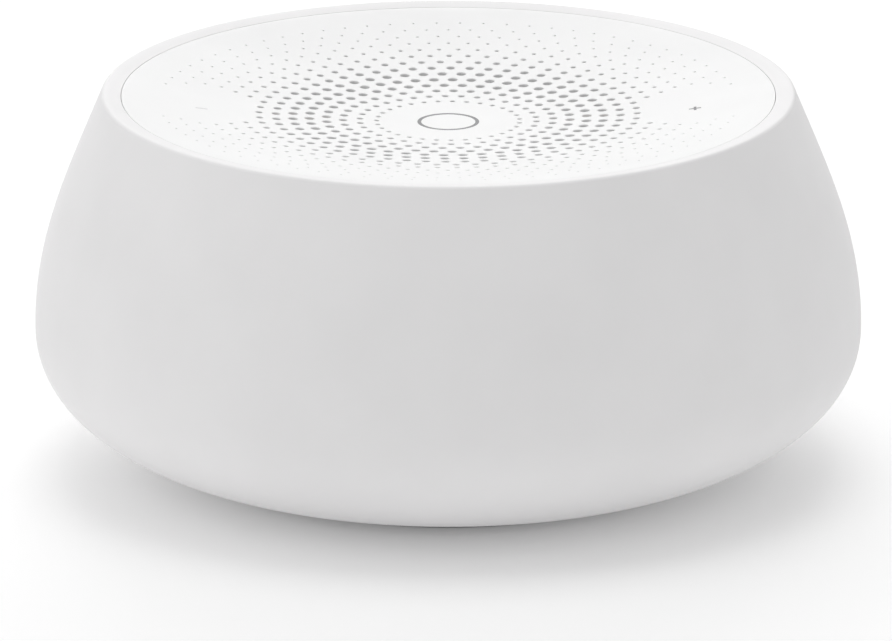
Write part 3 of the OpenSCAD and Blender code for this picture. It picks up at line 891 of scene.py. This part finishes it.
white_shell = moulded("white_shell", HOUSING_WHITE, rough=0.55)
white_panel = moulded("white_panel", PANEL_WHITE, rough=0.5, grain_mm=0.3, depth_mm=0.008)
grey_moulding = moulded("grey_moulding", (0.09, 0.09, 0.095), rough=0.6, grain_mm=0.5, depth_mm=0.03,
                        spread=0.1)
black_moulding = moulded("black_moulding", (0.02, 0.02, 0.022), rough=0.5, spread=0.15)
ivory_moulding = moulded("ivory_moulding", (0.7, 0.66, 0.52), rough=0.45, spread=0.06)
zinc = turned("zinc_plate", (0.62, 0.62, 0.6))
tin = brushed("tin_plate", (0.75, 0.75, 0.72), (0.04, 1, 1))
nickel = brushed("nickel_plate", (0.7, 0.68, 0.64), (1, 0.03, 1), rough=0.25)
board_green = circuit("solder_mask")
chip_black = chip("chip_epoxy")
soft_black = rubbery("soft_black", (0.02, 0.02, 0.021))
CAD_LOOKS = {
    "touch_film": film("amber_film", (0.5, 0.27, 0.05)),
    "touch_carrier": moulded("white_backing", (0.75, 0.75, 0.75), rough=0.6, grain_mm=0.6, depth_mm=0.02),
    "mic_boards": board_green,
    "mic_boots": soft_black,
    "driver_basket": brushed("basket_paint", (0.03, 0.03, 0.032), (1, 1, 1), rough=0.4),
    "driver_gasket": foamed("gasket_foam", (0.03, 0.03, 0.03)),
    "speaker_cone": pulp("cone_pulp", (0.035, 0.035, 0.037)),
    "dust_cap": pulp("cap_pulp", (0.025, 0.025, 0.026)),
    "voice_coil": wound("copper_winding"),
    "top_plate": zinc,
    "magnet": moulded("ferrite", (0.035, 0.035, 0.038), rough=0.65, grain_mm=0.4, depth_mm=0.04, spread=0.3),
    "yoke": zinc,
    "baffle": grey_moulding,
    "rear_chamber": grey_moulding,
    "main_board": board_green,
    "processor": chip_black,
    "board_chips": chip_black,
    "shield_can": tin,
    "board_sockets": ivory_moulding,
    "touch_cable": film("white_ribbon", (0.75, 0.75, 0.77), 0.5, "Y"),
    "port_cable": film("white_ribbon_flat", (0.75, 0.75, 0.77), 0.5, "X"),
    "speaker_wires": rubbery("red_insulation", (0.45, 0.02, 0.015), rough=0.45),
    "wire_grommet": soft_black,
    "antenna": film("antenna_film", (0.6, 0.33, 0.08), 2.2, "Z"),
    "antenna_lead": rubbery("grey_insulation", (0.06, 0.06, 0.065), rough=0.5),
    "port_board": board_green,
    "usb_shell": nickel,
    "usb_tongue": black_moulding,
    "switch_body": black_moulding,
    "switch_plunger": ivory_moulding,
    "rear_button": moulded("white_button", (0.78, 0.78, 0.785), rough=0.45, grain_mm=0.3, depth_mm=0.008),
    "heat_spreader": brushed("cast_aluminium", (0.72, 0.73, 0.74), (1, 1, 1), rough=0.45),
    "thermal_pad": rubbery("silicone_pad", (0.3, 0.4, 0.5)),
    "base_plate": moulded("white_base", HOUSING_WHITE, rough=0.6, grain_mm=0.5, depth_mm=0.02),
    "base_screws": zinc,
    "board_screws": zinc,
    "baffle_screws": zinc,
    "driver_screws": zinc,
    "port_screws": zinc,
}


def dress(piece, material):
    """The piece with one material all over."""
    piece.data.materials.clear()
    piece.data.materials.append(material)
    return piece


# ---------------------------------------------------------------- camera, light and floor

CAMERA_DISTANCE = 1.794
CAMERA_ELEVATION = math.radians(15.7)
CAMERA_DROP = math.radians(0.9547)
CAMERA_SIDE = math.radians(0.010)
CAMERA_AIM_Z = 50.6
LENS = 546.1

# Strength of the sky at the left and at the right
SKY_LEFT, SKY_RIGHT = 0.665, 0.515

# The lamps' places, in metres, and their powers
LAMPS = {
    "overhead": ((0, 0, 1.4), 4.2),
    "back_high": ((0, 0.74, 1.19), 1.5),
    "back_low": ((0, 1.24, 0.66), 4.5),
    "left_fill": ((-1.24, 0, 0.66), 1.3),
}
LAMP_SIZE = (0.9, 0.9)
LAMP_AIM = (0, 0, 0.02)
FLOOR_GLOW = 0.12


def make_camera():
    """A long lens that looks at the front from just above the rim."""
    data = bpy.data.cameras.new("camera")
    data.lens = LENS
    data.sensor_width = 36
    data.clip_start, data.clip_end = 0.1, 20
    camera = bpy.data.objects.new("camera", data)
    bpy.context.scene.collection.objects.link(camera)
    back = Vector((0, -math.cos(CAMERA_ELEVATION), math.sin(CAMERA_ELEVATION)))
    camera.location = Vector((0, 0, CAMERA_AIM_Z * MM)) + back * CAMERA_DISTANCE
    camera.rotation_euler = (math.pi / 2 - CAMERA_ELEVATION - CAMERA_DROP, 0, CAMERA_SIDE)
    bpy.context.scene.camera = camera


def make_lamp(name, place, power):
    """A large square lamp that faces the speaker."""
    data = bpy.data.lights.new(name, "AREA")
    data.shape = "RECTANGLE"
    data.size, data.size_y = LAMP_SIZE
    data.energy = power
    light = bpy.data.objects.new(name, data)
    bpy.context.scene.collection.objects.link(light)
    light.location = place
    light.rotation_euler = (Vector(LAMP_AIM) - Vector(place)).to_track_quat("-Z", "Y").to_euler()


def make_sky():
    """Even light from all round, a little stronger from the left."""
    world = bpy.data.worlds.new("studio")
    world.use_nodes = True
    sky_nodes, links = world.node_tree.nodes, world.node_tree.links
    background = sky_nodes["Background"]
    background.inputs["Color"].default_value = (1, 1, 1, 1)
    direction = sky_nodes.new("ShaderNodeSeparateXYZ")
    across = sky_nodes.new("ShaderNodeMapRange")
    across.inputs["From Min"].default_value, across.inputs["From Max"].default_value = -1, 1
    across.inputs["To Min"].default_value, across.inputs["To Max"].default_value = SKY_LEFT, SKY_RIGHT
    links.new(sky_nodes.new("ShaderNodeTexCoord").outputs["Generated"], direction.inputs["Vector"])
    links.new(direction.outputs["X"], across.inputs["Value"])
    links.new(across.outputs["Result"], background.inputs["Strength"])
    bpy.context.scene.world = world


def make_floor():
    """A wide pale floor with a faint glow, which lifts the shadow as a white sweep would."""
    work = bmesh.new()
    bmesh.ops.create_grid(work, x_segments=8, y_segments=8, size=4.0)
    mesh = bpy.data.meshes.new("floor")
    work.to_mesh(mesh)
    work.free()
    floor = new_object("floor", mesh)
    look = Look("floor_white", 0.9, specular=0.0)
    look.colours(look.noise(900, 1), [(0.0, (0.93, 0.93, 0.93)), (1.0, (0.95, 0.95, 0.95))])
    look.shader.inputs["Emission Color"].default_value = (1, 1, 1, 1)
    look.shader.inputs["Emission Strength"].default_value = FLOOR_GLOW
    dress(floor, look.material)


def make_studio():
    """Soft light over a pale floor."""
    make_sky()
    for name, (place, power) in LAMPS.items():
        make_lamp(name, place, power)
    make_floor()
    bpy.context.scene.view_settings.view_transform = "Standard"
    bpy.context.scene.view_settings.look = "None"


# ---------------------------------------------------------------- assembly

make_camera()
make_studio()

for node_name, node_look in CAD_LOOKS.items():
    smooth(dress(nodes[node_name], node_look), 30)

for made, body, stands_for, node_slot, look in (
    (make_housing(), "root", "outer_housing", "housing_plastic", white_shell),
    (make_panel(), "root", "top_grille", "panel_plastic", white_panel),
    (make_foot(), "root", "foot_ring", "foot_rubber", rubbery("foot_rubber", (0.12, 0.12, 0.125))),
):
    dress(made, look)
    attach(made, body)
    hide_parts(stands_for)

for made, stands_for, node_slot, look, radii in (
    (make_surround(), "surround", "rubber", soft_black, (SURROUND_STILL, SURROUND_MOVING)),
    (make_spider(), "spider", "spider_cloth", woven("spider_cloth", (0.5, 0.38, 0.12)),
     (SPIDER_STILL, SPIDER_MOVING)),
):
    dress(made, look)
    radial_blend(made, *radii)
    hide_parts(stands_for)

ink = printed("grey_ink", (0.27, 0.27, 0.275))
pale_ink = printed("pale_ink", (0.66, 0.66, 0.665))
for mark, mark_look in (
    (inlay("mark_plus", plus_loop(ZONE_X, SIGN_Y, SIGN_SPAN, 0.36)), ink),
    (inlay("mark_minus", bar_loop(-ZONE_X, SIGN_Y, SIGN_SPAN, 0.24)), pale_ink),
    (ring_mark("mark_touch_ring", 4.1, 0.5), ink),
):
    dress(mark, mark_look)
    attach(mark, "root")
